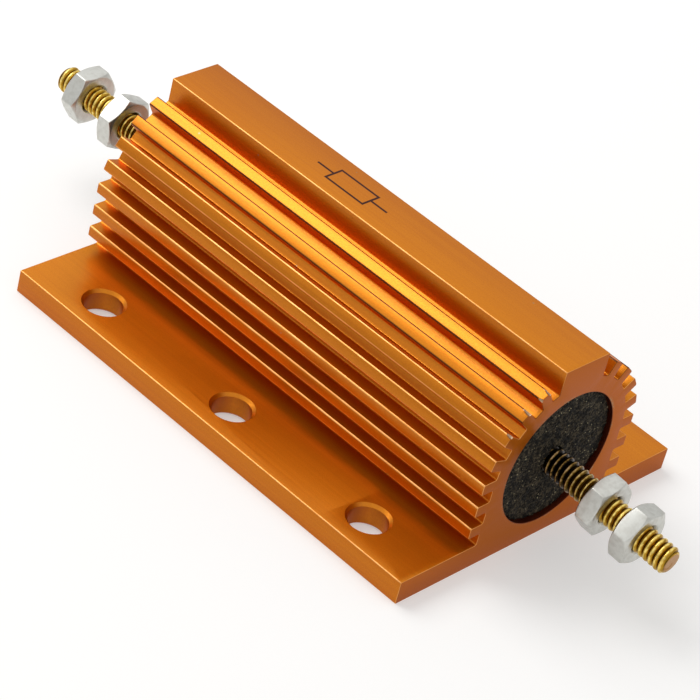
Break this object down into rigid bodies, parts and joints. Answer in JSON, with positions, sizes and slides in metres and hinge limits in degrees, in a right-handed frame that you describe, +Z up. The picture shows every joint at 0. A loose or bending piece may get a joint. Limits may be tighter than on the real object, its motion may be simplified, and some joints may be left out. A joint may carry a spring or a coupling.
{
  "type": "aluminium housed power resistor",
  "caption": "Finned gold-anodised aluminium housing on a flanged base, around a cement-sealed wirewound element with threaded stud terminals and hex nuts at its ends.",
  "frame": {"origin": "middle of the housing's underside, between the two rows of mounting holes", "axes": "+X along the housing towards the front stud, +Y across to one flange, +Z up through the ridge"},
  "size_m": [0.142, 0.0638, 0.0339],
  "materials": {
    "gold_anodised_aluminium": "satin gold-orange anodising with worn edges",
    "steatite": "unglazed off-white ceramic",
    "resistance_wire": "dull grey resistance alloy",
    "plated_steel_cap": "dull plated steel",
    "black_cement": "granular black cement",
    "brass": "bright thread, tarnished near the cement",
    "nickel_plated_steel": "dull silver-grey plating"
  },
  "bodies": {
    "root": {"housing": "gold_anodised_aluminium", "ceramic_core": "steatite", "resistance_winding": "resistance_wire", "end_cap_front": "plated_steel_cap", "end_cap_rear": "plated_steel_cap", "cement_filling": "black_cement", "stud_front": "brass", "stud_rear": "brass", "nut_front_inner": "nickel_plated_steel", "nut_front_outer": "nickel_plated_steel", "nut_rear_inner": "nickel_plated_steel", "nut_rear_outer": "nickel_plated_steel"}
  },
  "joints": []
}
